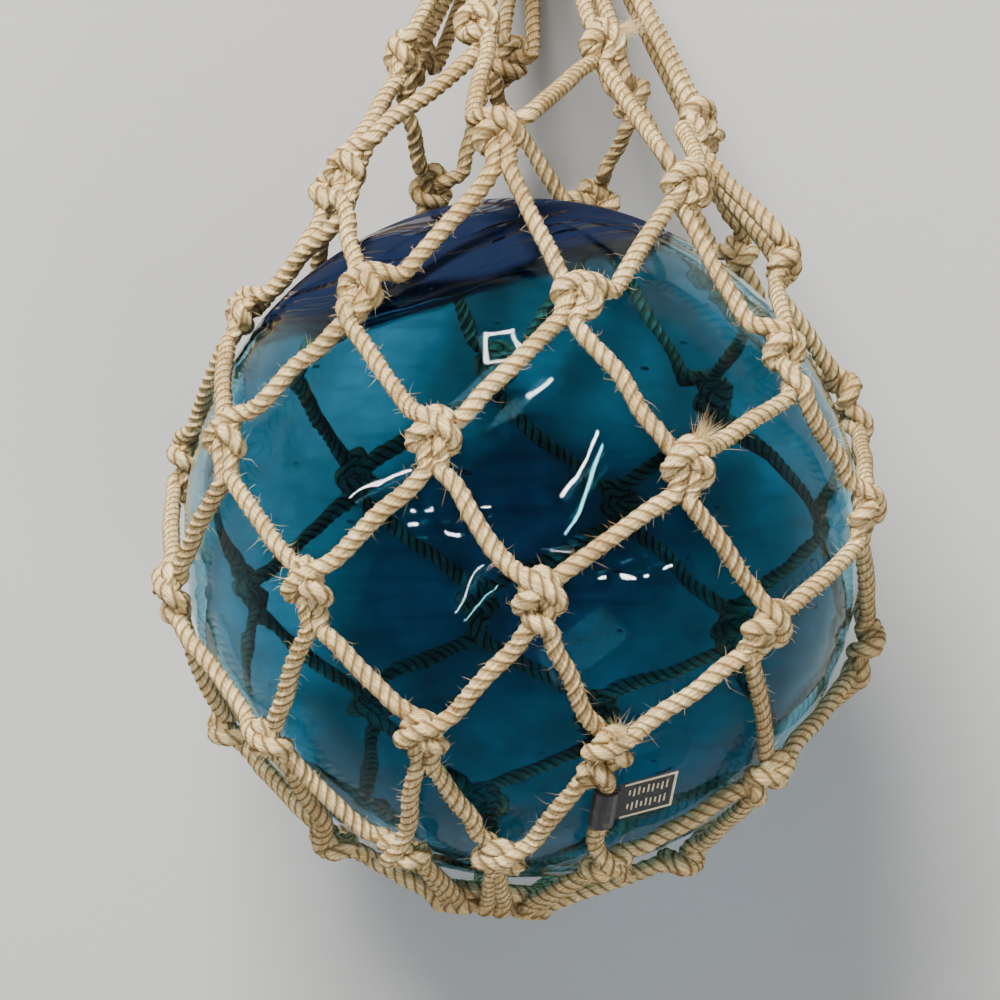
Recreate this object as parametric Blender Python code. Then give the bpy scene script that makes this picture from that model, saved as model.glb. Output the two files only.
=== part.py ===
"""A glass fishing float in its knotted twine net, lying on a flat surface.

World axes: +Z is up from the surface, +Y runs along the neck of the net and +X lies across it.
Lengths are in metres. The net is worked out round the centre of the ball and then set down.
"""

from collections import namedtuple
from math import cos, pi, radians, sin

import bmesh
import bpy
from mathutils import Vector

# Driving sizes
BALL_RADIUS = 0.075
TWINE = 0.0038
NET_CLEARANCE = 0.0004
PIECE_GAP = 0.0003
FLOOR_PRESS = 0.0007
BINDING_LENGTH = 0.0115
BINDING_TWINE = 0.0036
BUNCH_WAIST = 0.0098
BUNCH_NOSE = 0.0130
BUNCH_TAIL = 0.0150
FOOT_RING_RADIUS = 0.0105
LABEL_REACH = 0.0118
LABEL_HEIGHT = 0.0105
LABEL_THICKNESS = 0.0005

# A sheet bend is about three twines wide, and two twines stand on each other in it
KNOT_WIDTH = 3.2 * TWINE
KNOT_HEIGHT = 2.95 * TWINE
KNOT_DEPTH = 2.1 * TWINE

# How the net hangs on the ball: its crown tips sideways and towards the surface
CROWN_SIDE = radians(5.0)
CROWN_DROP = radians(7.3)
MESHES = 8
FIRST_COLUMN = -16.0

# Each round of knots on the ball, in degrees: how far down from the crown it lies, how much further
# it slips at the front, at the side and as an oval, how far it turns, and how its knots crowd
Round = namedtuple("Round", "drop front side oval turn crowd shear")
BALL_ROUNDS = (
    Round(56.7, 3.4, 1.7, -2.5, 0.7, -7.8, 0.1),
    Round(80.3, 4.0, 0.8, -1.8, -0.4, -9.3, -0.5),
    Round(101.5, 4.7, -0.5, -1.9, -1.6, -9.4, -1.5),
    Round(124.0, 5.9, -1.5, -3.5, -2.8, -8.7, -3.1),
    Round(148.3, 7.0, -1.4, -2.7, -3.3, -2.8, -5.7),
)

# The two rounds that stand off the ball, in shares of its radius: the centre, half the width and
# half the depth of the oval, its lean to the side, how its sides sag, and its turn in degrees
Collar = namedtuple("Collar", "centre wide deep lean sag turn")
NECK_ROUNDS = (
    Collar((0.100, 1.405, -0.25), 0.458, 0.33, -0.12, 0.083, 9.4),
    Collar((0.084, 1.000, -0.05), 0.669, 0.64, -0.109, 0.096, 3.1),
)
GATHER_SIDE = 0.06
GATHER_REACH = 2.18

TWINE_SIDES = 6
LEG_STEPS = 3
LEG_EASE = 0.20
SLOPE_STEP = 0.02
DOUBLE_LEG = 1.9
FOOT_LEG_WIDTH = 1.5
GATHERED_LEG_WIDTH = 1.3
GATHER_TILT = radians(20)
ROUND_SIDES = 24
BINDING_EDGE = 0.15
BINDING_SHOULDER = 0.72
LABEL_KNOTS = ((5, 2), (6, 3))
LABEL_PLACE = 0.42
LABEL_SKEW = radians(15)

# Sizes that follow from the ones above
NET_RADIUS = BALL_RADIUS + NET_CLEARANCE + TWINE / 2
FLOOR_DROP = BALL_RADIUS + NET_CLEARANCE + TWINE - FLOOR_PRESS
BINDING_INNER = BUNCH_WAIST + PIECE_GAP
BINDING_OUTER = BINDING_INNER + BINDING_TWINE
GATHER_HEIGHT = BINDING_OUTER - FLOOR_PRESS
NECK_COUNT = len(NECK_ROUNDS)
ROUND_COUNT = NECK_COUNT + len(BALL_ROUNDS)
COLUMNS = 2 * MESHES

CROWN = Vector(
    (sin(CROWN_SIDE), cos(CROWN_SIDE) * cos(CROWN_DROP), -cos(CROWN_SIDE) * sin(CROWN_DROP))
)
FRONT = (Vector((0, 0, 1)) - CROWN * CROWN.z).normalized()
SIDE = CROWN.cross(FRONT)
GATHER = Vector(
    (GATHER_SIDE * BALL_RADIUS, GATHER_REACH * BALL_RADIUS, GATHER_HEIGHT - FLOOR_DROP)
)
FOOT = -CROWN * (NET_RADIUS + TWINE / 4)


def clear_scene():
    for item in list(bpy.data.objects):
        bpy.data.objects.remove(item, do_unlink=True)


def material(name, colour, roughness, alpha=1.0):
    made = bpy.data.materials.new(name)
    made.use_nodes = True
    shader = made.node_tree.nodes["Principled BSDF"]
    shader.inputs["Base Color"].default_value = (*colour, 1.0)
    shader.inputs["Roughness"].default_value = roughness
    shader.inputs["Metallic"].default_value = 0.0
    shader.inputs["Alpha"].default_value = alpha
    made.diffuse_color = (*colour, alpha)
    return made


def node_from(bm, name, finish=None):
    bmesh.ops.triangulate(bm, faces=bm.faces)
    bmesh.ops.recalc_face_normals(bm, faces=bm.faces)
    mesh = bpy.data.meshes.new(name)
    bm.to_mesh(mesh)
    bm.free()
    mesh.shade_smooth()
    made = bpy.data.objects.new(name, mesh)
    bpy.context.scene.collection.objects.link(made)
    if finish:
        made.data.materials.append(finish)
    else:
        made.hide_render = True
        made.display_type = "WIRE"
    return made


def combine(target, other, operation):
    step = target.modifiers.new(other.name, "BOOLEAN")
    step.operation = operation
    step.solver = "EXACT"
    step.object = other


def columns_of(index):
    """The columns in which a round has its knots: every other one, offset from its neighbours."""
    return [column for column in range(COLUMNS) if column % 2 == (index + 1) % 2]


def column_angle(column):
    return radians(360 * column / COLUMNS + FIRST_COLUMN)


def ball_knot(shape, column):
    turn = column_angle(column)
    drop = radians(
        shape.drop + shape.front * cos(turn) + shape.side * sin(turn) + shape.oval * cos(2 * turn)
    )
    turn += radians(shape.turn - cos(turn) + shape.crowd * sin(turn) + shape.shear * sin(2 * turn))
    outward = FRONT * cos(turn) + SIDE * sin(turn)
    place = (CROWN * cos(drop) + outward * sin(drop)) * NET_RADIUS
    return place, place.normalized()


def neck_knot(shape, column):
    turn = column_angle(column) + radians(shape.turn)
    centre = Vector(shape.centre)
    offset = Vector(
        (
            shape.wide * sin(turn),
            shape.lean * sin(turn) + shape.sag * cos(2 * turn),
            shape.deep * cos(turn),
        )
    )
    place = (centre + offset) * BALL_RADIUS
    outward = offset.normalized() + place.normalized() / 2
    return place, outward.normalized()


def knot_place(index, column):
    column %= COLUMNS
    if index < NECK_COUNT:
        return neck_knot(NECK_ROUNDS[index], column)
    return ball_knot(BALL_ROUNDS[index - NECK_COUNT], column)


def gather_point(column):
    """Where the doubled strand of a column ends, inside the bunch."""
    turn = column_angle(column) + radians(NECK_ROUNDS[0].turn)
    upward = Vector((0, sin(GATHER_TILT), cos(GATHER_TILT)))
    spread = (BUNCH_WAIST - TWINE / 4) * (Vector((1, 0, 0)) * sin(turn) + upward * cos(turn))
    return GATHER + spread


def foot_point(column):
    """Where the doubled leg of a column ends, inside the foot ring."""
    turn = column_angle(column) + radians(BALL_ROUNDS[-1].turn)
    return FOOT + (FRONT * cos(turn) + SIDE * sin(turn)) * FOOT_RING_RADIUS


def neighbours(index, column, step):
    """The middle of the two knots above or below this one, or of where its legs end."""
    if index + step < 0:
        return gather_point(column)
    if index + step == ROUND_COUNT:
        return foot_point(column)
    left, _ = knot_place(index + step, column - 1)
    right, _ = knot_place(index + step, column + 1)
    return (left + right) / 2


def ring_points(place, along, normal, wide=1.0):
    """The corners of a twine's section, wider than high where two twines lie side by side."""
    across = along.cross(normal).normalized()
    outward = across.cross(along).normalized()
    angles = [2 * pi * i / TWINE_SIDES for i in range(TWINE_SIDES)]
    reach = TWINE / 2
    return [place + across * (cos(a) * reach * wide) + outward * (sin(a) * reach) for a in angles]


Socket = namedtuple("Socket", "place along normal wide")


class Knot:
    """A sheet bend: two legs leave it upwards and apart, two leave it downwards and together."""

    def __init__(self, index, column):
        self.centre, self.normal = knot_place(index, column)
        rise = neighbours(index, column, -1) - neighbours(index, column, 1)
        self.up = (rise - self.normal * rise.dot(self.normal)).normalized()
        self.right = self.up.cross(self.normal)
        self.sockets = {}
        if index == 0:
            self.add("up", 0, 0.0, 0.42, self.up, DOUBLE_LEG)
        else:
            for hand in (-1, 1):
                target, _ = knot_place(index - 1, column + hand)
                along = self.level(target - self.centre) + self.right * (0.35 * hand)
                self.add("up", hand, 0.40 * hand, 0.26, along)
        if index == ROUND_COUNT - 1:
            self.add("down", 0, 0.0, -0.42, self.up, DOUBLE_LEG)
        else:
            for hand in (-1, 1):
                self.add("down", hand, 0.21 * hand, -0.44, self.up - self.right * (0.22 * hand))

    def level(self, direction):
        flat = direction - self.normal * direction.dot(self.normal)
        return flat.normalized()

    def add(self, way, hand, sideways, upward, along, wide=1.0):
        offset = self.right * (sideways * KNOT_WIDTH) + self.up * (upward * KNOT_HEIGHT)
        socket = Socket(self.centre + offset, self.level(along), self.normal, wide)
        self.sockets[way, hand] = socket

    def crest(self):
        """The outer face of the knot, where the twine passes over itself."""
        top = self.normal * (KNOT_DEPTH - TWINE / 2)
        shares = ((-0.26, 0.24), (0.26, 0.24), (0.30, -0.10), (-0.30, -0.10), (0.0, -0.34))
        return [
            self.centre + top + self.right * (x * KNOT_WIDTH) + self.up * (y * KNOT_HEIGHT)
            for x, y in shares
        ]

    def build(self, bm):
        """Adds the knot to the mesh, open at its sockets, and returns the rim of each."""
        rims = {}
        for key, socket in self.sockets.items():
            rims[key] = [bm.verts.new(point) for point in ring_points(*socket)]
        crest = [bm.verts.new(point) for point in self.crest()]
        corners = [vert for rim in rims.values() for vert in rim] + crest
        hull = bmesh.ops.convex_hull(bm, input=corners, use_existing_faces=False)
        inner = [item for item in hull["geom_interior"] if item in crest]
        bmesh.ops.delete(bm, geom=inner, context="VERTS")
        for rim in rims.values():
            around = {face for vert in rim for face in vert.link_faces}
            lid = [face for face in around if set(rim).issuperset(face.verts)]
            bmesh.ops.delete(bm, geom=lid, context="FACES")
        return rims


def off_the_ball(place):
    """A point of a twine's middle line, pushed out until the twine clears the glass."""
    return place if place.length >= NET_RADIUS else place.normalized() * NET_RADIUS


def leg_path(start, end, share):
    """A point of the smooth line that leaves one socket and enters the other."""
    pull = (end.place - start.place).length * LEG_EASE
    first = start.place + start.along * pull
    second = end.place - end.along * pull
    rest = 1 - share
    place = (
        start.place * rest**3
        + first * (3 * rest**2 * share)
        + second * (3 * rest * share**2)
        + end.place * share**3
    )
    return off_the_ball(place)


def leg_sockets(start, end):
    """The sections of a leg between its two ends."""
    made = []
    for step in range(1, LEG_STEPS):
        share = step / LEG_STEPS
        before = leg_path(start, end, share - SLOPE_STEP)
        after = leg_path(start, end, share + SLOPE_STEP)
        normal = start.normal.lerp(end.normal, share).normalized()
        wide = start.wide + (end.wide - start.wide) * share
        place = leg_path(start, end, share)
        made.append(Socket(place, (after - before).normalized(), normal, wide))
    return made


def bridge(bm, rims):
    for lower, upper in zip(rims, rims[1:]):
        for i in range(TWINE_SIDES):
            j = (i + 1) % TWINE_SIDES
            bm.faces.new((lower[i], lower[j], upper[j], upper[i]))


def add_leg(bm, start, end, start_rim, end_rim):
    """A leg from one rim to the other; an end without a rim is closed."""
    middle = [[bm.verts.new(p) for p in ring_points(*s)] for s in leg_sockets(start, end)]
    rims = [start_rim, *middle, end_rim]
    if start_rim is None:
        rims[0] = [bm.verts.new(p) for p in ring_points(*start)]
        bm.faces.new(rims[0])
    if end_rim is None:
        rims[-1] = [bm.verts.new(p) for p in ring_points(*end)]
        bm.faces.new(rims[-1])
    bridge(bm, rims)


def turned(name, centre, axis, profile, finish=None, closed=False):
    """A solid turned about an axis from points of its profile: distance along it, and radius."""
    bm = bmesh.new()
    axis = axis.normalized()
    across = axis.cross(Vector((0, 0, 1))).normalized()
    upward = across.cross(axis)
    loops = []
    for distance, radius in profile:
        loop = []
        for i in range(ROUND_SIDES):
            angle = 2 * pi * i / ROUND_SIDES
            spoke = across * cos(angle) + upward * sin(angle)
            loop.append(bm.verts.new(centre + axis * distance + spoke * radius))
        loops.append(loop)
    pairs = list(zip(loops, loops[1:]))
    if closed:
        pairs.append((loops[-1], loops[0]))
    else:
        bm.faces.new(loops[0])
        bm.faces.new(loops[-1])
    for lower, upper in pairs:
        for i in range(ROUND_SIDES):
            j = (i + 1) % ROUND_SIDES
            bm.faces.new((lower[i], lower[j], upper[j], upper[i]))
    return node_from(bm, name, finish)


def make_ball(finish):
    bm = bmesh.new()
    bmesh.ops.create_icosphere(bm, subdivisions=4, radius=BALL_RADIUS)
    return node_from(bm, "glass_ball", finish)


def make_foot_ring():
    """The small ring of twine on which the net was begun."""
    thick = 0.62 * TWINE
    angles = [2 * pi * i / 8 for i in range(8)]
    profile = [(thick * sin(a), FOOT_RING_RADIUS + thick * cos(a)) for a in angles]
    return turned("foot_ring_core", FOOT, CROWN, profile, closed=True)


def make_bunch():
    """The gathered strands, from where they meet to their loose ends beyond the binding."""
    seat = BUNCH_NOSE
    end = seat + BINDING_LENGTH
    profile = [
        (-0.30 * BUNCH_NOSE, 0.82 * BUNCH_WAIST),
        (0.25 * BUNCH_NOSE, 1.22 * BUNCH_WAIST),
        (0.70 * BUNCH_NOSE, 1.12 * BUNCH_WAIST),
        (seat, BUNCH_WAIST),
        (end, BUNCH_WAIST),
        (end + 0.30 * BUNCH_TAIL, 1.20 * BUNCH_WAIST),
        (end + 0.85 * BUNCH_TAIL, 1.38 * BUNCH_WAIST),
        (end + BUNCH_TAIL, 1.05 * BUNCH_WAIST),
    ]
    return turned("bunch_core", GATHER, Vector((0, 1, 0)), profile)


def make_binding(finish):
    """The whipping: turns of twine laid side by side round the waist of the bunch."""
    turns = max(2, round(BINDING_LENGTH / BINDING_TWINE))
    start = BUNCH_NOSE + PIECE_GAP
    pitch = (BINDING_LENGTH - 2 * PIECE_GAP) / turns
    profile = [(start, BINDING_INNER)]
    for turn in range(turns):
        shoulder = BINDING_INNER + BINDING_TWINE * BINDING_SHOULDER
        profile.append((start + pitch * (turn + BINDING_EDGE), shoulder))
        profile.append((start + pitch * (turn + 1 / 2), BINDING_OUTER))
        profile.append((start + pitch * (turn + 1 - BINDING_EDGE), shoulder))
    profile.append((start + pitch * turns, BINDING_INNER))
    return turned(
        "neck_binding", GATHER, Vector((0, 1, 0)), profile, finish=finish, closed=True
    )


def make_net(finish):
    bm = bmesh.new()
    knots = {
        (index, column): Knot(index, column)
        for index in range(ROUND_COUNT)
        for column in columns_of(index)
    }
    rims = {place: knot.build(bm) for place, knot in knots.items()}
    for (index, column), knot in knots.items():
        for hand in (-1, 1):
            above = (index - 1, (column + hand) % COLUMNS)
            if above in knots:
                add_leg(
                    bm,
                    knot.sockets["up", hand],
                    knots[above].sockets["down", -hand],
                    rims[index, column]["up", hand],
                    rims[above]["down", -hand],
                )
        if index == 0:
            start = knot.sockets["up", 0]
            place = gather_point(column)
            along = (place - start.place).normalized()
            end = Socket(place, along, knot.normal, GATHERED_LEG_WIDTH)
            add_leg(bm, start, end, rims[index, column]["up", 0], None)
        if index == ROUND_COUNT - 1:
            end = knot.sockets["down", 0]
            place = foot_point(column)
            along = (end.place - place).normalized()
            start = Socket(place, along, -CROWN, FOOT_LEG_WIDTH)
            add_leg(bm, start, end, None, rims[index, column]["down", 0])
    return node_from(bm, "net", finish), knots


def make_label(knots, finish):
    """A foil tag folded over one strand, its flag standing out to one side over the glass."""
    upper_knot, lower_knot = LABEL_KNOTS
    upper = knots[upper_knot].sockets["down", 1]
    lower = knots[lower_knot].sockets["up", -1]
    place = leg_path(lower, upper, 1 - LABEL_PLACE)
    further = leg_path(lower, upper, 1 - LABEL_PLACE + SLOPE_STEP)
    along = (further - place).normalized()
    normal = (place.normalized() - along * place.normalized().dot(along)).normalized()
    right = along.cross(normal)
    hold = TWINE / 2 * 1.1 + PIECE_GAP + LABEL_THICKNESS / 2
    fold = [(hold * cos(a), hold * sin(a)) for a in (radians(170 - 24 * i) for i in range(8))]
    flag = [(hold + LABEL_REACH * share, fold[-1][1]) for share in (0.1, 0.4, 0.7, 1.0)]
    line = fold + flag
    bm = bmesh.new()
    rims = []
    for i, (x, z) in enumerate(line):
        ahead = Vector(line[min(i + 1, len(line) - 1)]) - Vector(line[max(i - 1, 0)])
        face = Vector((-ahead.y, ahead.x)).normalized() * (LABEL_THICKNESS / 2)
        slant = max(0.0, x - hold) * sin(LABEL_SKEW)
        rim = []
        for end in (-1, 1):
            for out in (-1, 1):
                corner = Vector((x, z)) + face * out
                point = place + right * corner.x + normal * corner.y
                rim.append(bm.verts.new(point + along * (end * LABEL_HEIGHT / 2 + slant)))
        rims.append([rim[0], rim[1], rim[3], rim[2]])
    for lower_rim, upper_rim in zip(rims, rims[1:]):
        for i in range(4):
            j = (i + 1) % 4
            bm.faces.new((lower_rim[i], lower_rim[j], upper_rim[j], upper_rim[i]))
    bm.faces.new(rims[0])
    bm.faces.new(rims[-1])
    return node_from(bm, "label", finish)


def make_floor_block():
    """Cuts flat what the weight of the float presses against the surface."""
    bm = bmesh.new()
    bmesh.ops.create_cube(bm, size=1.0)
    thick = 4 * TWINE
    size = Vector((6 * BALL_RADIUS, 8 * BALL_RADIUS, thick))
    for vert in bm.verts:
        vert.co = Vector(a * b for a, b in zip(vert.co, size))
        vert.co.z -= FLOOR_DROP + thick / 2
    return node_from(bm, "floor_block")


def set_down(pieces, cutter):
    """Puts the middle of the pieces' footprint at the origin and their lowest faces at z = 0."""
    corners = [vert.co for piece in pieces for vert in piece.data.vertices]
    low = Vector(min(corner[i] for corner in corners) for i in range(3))
    high = Vector(max(corner[i] for corner in corners) for i in range(3))
    middle = (low + high) / 2
    for piece in (*pieces, cutter):
        piece.location = (-middle.x, -middle.y, FLOOR_DROP)


def main():
    clear_scene()
    glass = material("sea_glass", (0.02, 0.22, 0.32), 0.04, alpha=0.45)
    twine = material("jute_twine", (0.62, 0.50, 0.33), 0.85)
    whipping = material("whipping_twine", (0.56, 0.44, 0.28), 0.85)
    foil = material("black_foil", (0.03, 0.03, 0.035), 0.35)

    ball = make_ball(glass)
    net, knots = make_net(twine)
    bunch = make_bunch()
    foot_ring = make_foot_ring()
    binding = make_binding(whipping)
    label = make_label(knots, foil)
    floor_block = make_floor_block()
    combine(net, bunch, "UNION")
    combine(net, foot_ring, "UNION")
    combine(net, floor_block, "DIFFERENCE")
    combine(binding, floor_block, "DIFFERENCE")
    set_down((ball, net, bunch, foot_ring, binding, label), floor_block)


main()
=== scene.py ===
# %% [markdown]
# A glass fishing float in its net
#
# The real thing is a hollow ball of blown glass, tied into a net of jute twine that is knotted mesh by
# mesh. This lesson dresses the plain solids of the model: it lays every twine of the net with its three
# strands, ties each knot, blows the ball as a shell of true thickness, and gives each surface its finish.
# The solids come in first, because every piece below takes its place from them.

# %% Load the solids
from collections import namedtuple
from math import cos, pi, radians, sin, sqrt

import bmesh
import bpy
import numpy as np
from mathutils import Matrix, Vector


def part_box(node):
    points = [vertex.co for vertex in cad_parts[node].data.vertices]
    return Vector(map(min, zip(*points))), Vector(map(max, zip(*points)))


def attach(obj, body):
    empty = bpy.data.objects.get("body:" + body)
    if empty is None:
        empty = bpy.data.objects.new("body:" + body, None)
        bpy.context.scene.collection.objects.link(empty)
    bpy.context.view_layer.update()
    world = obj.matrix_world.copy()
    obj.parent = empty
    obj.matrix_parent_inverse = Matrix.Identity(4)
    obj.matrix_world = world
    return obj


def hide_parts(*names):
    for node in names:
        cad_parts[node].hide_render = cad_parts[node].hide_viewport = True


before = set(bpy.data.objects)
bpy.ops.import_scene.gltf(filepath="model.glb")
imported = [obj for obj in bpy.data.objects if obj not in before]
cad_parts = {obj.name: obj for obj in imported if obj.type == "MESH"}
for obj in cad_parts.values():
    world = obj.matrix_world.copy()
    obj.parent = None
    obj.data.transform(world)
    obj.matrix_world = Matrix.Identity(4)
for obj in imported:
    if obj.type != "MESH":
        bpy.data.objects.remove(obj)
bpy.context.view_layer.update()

ball_low, ball_high = (np.array(corner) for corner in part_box("glass_ball"))
ball_centre = (ball_low + ball_high) / 2
ball_radius = float((ball_high - ball_low).mean() / 2)
print("ball radius", round(ball_radius, 4), "centre", ball_centre.round(4))

# %% [markdown]
# Sizes
#
# The twine is laid from three strands, and one turn of its lay is two twines long. All lengths
# are in metres. The rounds are the rows of knots, from the neck down to the foot, with the same values as
# the solids.

# %% Sizes of the net
TWINE = 0.0038
NET_CLEARANCE = 0.0004
LAY = 2 * TWINE
MESHES = 8
COLUMNS = 2 * MESHES
FIRST_COLUMN = -16.0
CROWN_SIDE = radians(5.0)
CROWN_DROP = radians(7.3)
FOOT_RING_RADIUS = 0.0105
BUNCH_WAIST = 0.0098
BUNCH_NOSE = 0.0130
BUNCH_TAIL = 0.0150
BINDING_LENGTH = 0.0115
BINDING_TWINE = 0.0036
GATHER_SIDE = 0.06
GATHER_REACH = 2.18
GATHER_HEIGHT = 0.0130
GATHER_TILT = radians(20)

Round = namedtuple("Round", "drop front side oval turn crowd shear")
BALL_ROUNDS = (
    Round(56.7, 3.4, 1.7, -2.5, 0.7, -7.8, 0.1),
    Round(80.3, 4.0, 0.8, -1.8, -0.4, -9.3, -0.5),
    Round(101.5, 4.7, -0.5, -1.9, -1.6, -9.4, -1.5),
    Round(124.0, 5.9, -1.5, -3.5, -2.8, -8.7, -3.1),
    Round(148.3, 7.0, -1.4, -2.7, -3.3, -2.8, -5.7),
)
Collar = namedtuple("Collar", "centre wide deep lean sag turn")
NECK_ROUNDS = (
    Collar((0.100, 1.405, -0.25), 0.458, 0.33, -0.12, 0.083, 9.4),
    Collar((0.084, 1.000, -0.05), 0.669, 0.64, -0.109, 0.096, 3.1),
)
NECK_COUNT = len(NECK_ROUNDS)
ROUND_COUNT = NECK_COUNT + len(BALL_ROUNDS)
NET_RADIUS = ball_radius + NET_CLEARANCE + TWINE / 2
print("rounds of knots:", ROUND_COUNT, "knots:", ROUND_COUNT * MESHES)

# %% [markdown]
# Where each knot sits
#
# A knot's place is worked out round the middle of the ball. On the ball it is a direction, further down
# for each round. On the neck it is a point of a leaning oval.

# %% Places of the knots
def vec(*values):
    return np.array(values, float)


def unit(v):
    return v / np.linalg.norm(v)


def placed(name, data):
    """A new object with this mesh, lamp or camera, put into the scene."""
    made = bpy.data.objects.new(name, data)
    bpy.context.scene.collection.objects.link(made)
    return made


CROWN = vec(sin(CROWN_SIDE), cos(CROWN_SIDE) * cos(CROWN_DROP), -cos(CROWN_SIDE) * sin(CROWN_DROP))
FRONT = unit(vec(0, 0, 1) - CROWN * CROWN[2])
SIDE = np.cross(CROWN, FRONT)
GATHER = vec(GATHER_SIDE * ball_radius, GATHER_REACH * ball_radius, GATHER_HEIGHT - ball_centre[2])
FOOT = -CROWN * (NET_RADIUS + TWINE / 4)


def columns_of(index):
    return [column for column in range(COLUMNS) if column % 2 == (index + 1) % 2]


def column_angle(column):
    return radians(360 * column / COLUMNS + FIRST_COLUMN)


def ball_knot(shape, column):
    turn = column_angle(column)
    drop = radians(
        shape.drop + shape.front * cos(turn) + shape.side * sin(turn) + shape.oval * cos(2 * turn)
    )
    turn += radians(shape.turn - cos(turn) + shape.crowd * sin(turn) + shape.shear * sin(2 * turn))
    outward = FRONT * cos(turn) + SIDE * sin(turn)
    place = (CROWN * cos(drop) + outward * sin(drop)) * NET_RADIUS
    return place, unit(place)


def neck_knot(shape, column):
    turn = column_angle(column) + radians(shape.turn)
    sag = shape.lean * sin(turn) + shape.sag * cos(2 * turn)
    offset = vec(shape.wide * sin(turn), sag, shape.deep * cos(turn))
    place = (vec(*shape.centre) + offset) * ball_radius
    return place, unit(unit(offset) + unit(place) / 2)


def knot_place(index, column):
    column %= COLUMNS
    if index < NECK_COUNT:
        return neck_knot(NECK_ROUNDS[index], column)
    return ball_knot(BALL_ROUNDS[index - NECK_COUNT], column)


def gather_point(column):
    turn = column_angle(column) + radians(NECK_ROUNDS[0].turn)
    upward = vec(0, sin(GATHER_TILT), cos(GATHER_TILT))
    return GATHER + (BUNCH_WAIST - TWINE / 4) * (vec(1, 0, 0) * sin(turn) + upward * cos(turn))


def foot_direction(column):
    turn = column_angle(column) + radians(BALL_ROUNDS[-1].turn)
    return FRONT * cos(turn) + SIDE * sin(turn)


print("first knot of each round:", [knot_place(i, columns_of(i)[0])[0].round(3).tolist()
                                    for i in range(ROUND_COUNT)])

# %% [markdown]
# The knot itself
#
# A net is tied with sheet bends. One twine makes a loop that opens downwards. The other comes from the
# upper left, rises through that loop, goes round behind both of its legs, is tucked under itself in front
# and leaves to the upper right. The courses below are lists of points in twine widths: across, along the
# net, and out from the glass. The legs of the loop run side by side for a short way, and in about every
# second knot they cross there. A hand ties no two knots alike, so each one is also tipped and loosened a
# little, and some are tied the other way round.

# %% Courses of a sheet bend
LOOP_COURSE = (
    (-0.46, -2.10, 0.02), (-0.47, -1.45, 0.16), (-0.46, -0.85, 0.42), (-0.50, -0.22, 0.50),
    (-0.66, 0.36, 0.52), (-0.44, 0.90, 0.56), (0.00, 1.10, 0.58), (0.44, 0.90, 0.56),
    (0.66, 0.36, 0.52), (0.50, -0.22, 0.50), (0.46, -0.85, 0.42), (0.47, -1.45, 0.16),
    (0.46, -2.10, 0.02),
)
CROSSED_COURSE = (
    (-0.62, -2.75, 0.02), (-0.18, -2.25, 0.02), (0.34, -1.75, 0.05), (0.54, -1.20, 0.26),
    (0.48, -0.60, 0.46), (0.54, -0.10, 0.50), (0.66, 0.42, 0.52), (0.42, 0.90, 0.56),
    (0.00, 1.10, 0.58), (-0.42, 0.90, 0.56), (-0.66, 0.42, 0.52), (-0.54, -0.10, 0.50),
    (-0.48, -0.60, 0.46), (-0.48, -1.20, 0.42), (-0.34, -1.75, 0.68), (0.18, -2.25, 0.88),
    (0.62, -2.75, 0.45),
)
WRAP_COURSE = (
    (-1.70, 1.42, 0.00), (-0.98, 0.88, 0.00), (-0.34, 0.44, 0.10), (0.14, 0.14, 0.72),
    (0.60, -0.12, 1.10), (1.02, -0.38, 0.86), (1.08, -0.70, 0.34), (0.58, -0.82, -0.02),
    (-0.30, -0.84, -0.02), (-0.94, -0.72, 0.24), (-1.10, -0.38, 0.76), (-0.74, 0.00, 1.12),
    (-0.18, 0.40, 1.10), (0.44, 0.74, 1.04), (1.00, 1.00, 0.62), (1.70, 1.46, 0.08),
)
TIGHT = (0.93, 0.93, 0.97)
SLACK = 0.045
TIP = radians(8)
RUN_VARIES = 0.22
RUN_START = -1.4
CROSSED_SHARE = 0.5
MIRRORED_SHARE = 0.4


class Knot:
    """A sheet bend in its place: its own axes, and the two courses of twine through it."""

    def __init__(self, index, column):
        self.centre, self.normal = knot_place(index, column)
        above = self.meeting(index, column, -1)
        below = self.meeting(index, column, 1)
        rise = above - below
        up = unit(rise - self.normal * rise.dot(self.normal))
        right = np.cross(up, self.normal)
        chance = np.random.default_rng(100 * index + column)
        tip = chance.normal(0, TIP)
        self.up = up * cos(tip) + right * sin(tip)
        self.right = np.cross(self.up, self.normal)
        crossed = chance.random() < CROSSED_SHARE and index < ROUND_COUNT - 1
        mirrored = chance.random() < MIRRORED_SHARE
        run = 1 + chance.normal(0, RUN_VARIES)
        loop = [(x, y * run if y < RUN_START else y, z)
                for x, y, z in (CROSSED_COURSE if crossed else LOOP_COURSE)]
        wrap = [(-x, y, z) for x, y, z in reversed(WRAP_COURSE)] if mirrored else WRAP_COURSE
        self.loop = self.laid(loop, chance)
        self.wrap = self.laid(wrap, chance)

    @staticmethod
    def meeting(index, column, step):
        if index + step < 0:
            return gather_point(column)
        if index + step == ROUND_COUNT:
            return FOOT + foot_direction(column) * FOOT_RING_RADIUS
        left, _ = knot_place(index + step, column - 1)
        right, _ = knot_place(index + step, column + 1)
        return (left + right) / 2

    def laid(self, course, chance):
        axes = np.array([self.right, self.up, self.normal])
        loose = chance.normal(0, SLACK, (len(course), 3))
        return self.centre + (np.array(course) * TIGHT + loose) * TWINE @ axes


knots = {(i, c): Knot(i, c) for i in range(ROUND_COUNT) for c in columns_of(i)}
print("knots placed:", len(knots))

# %% [markdown]
# The strand in the tag
#
# A foil tag is folded over one strand. Its solid says where: the large flat face is the tag's flag, and
# the lines square to the facets of the fold meet on the strand's middle line.

# %% Read the tag's solid
TAG_FACET = 4e-6
TAG_EDGE = 0.0002
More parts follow.
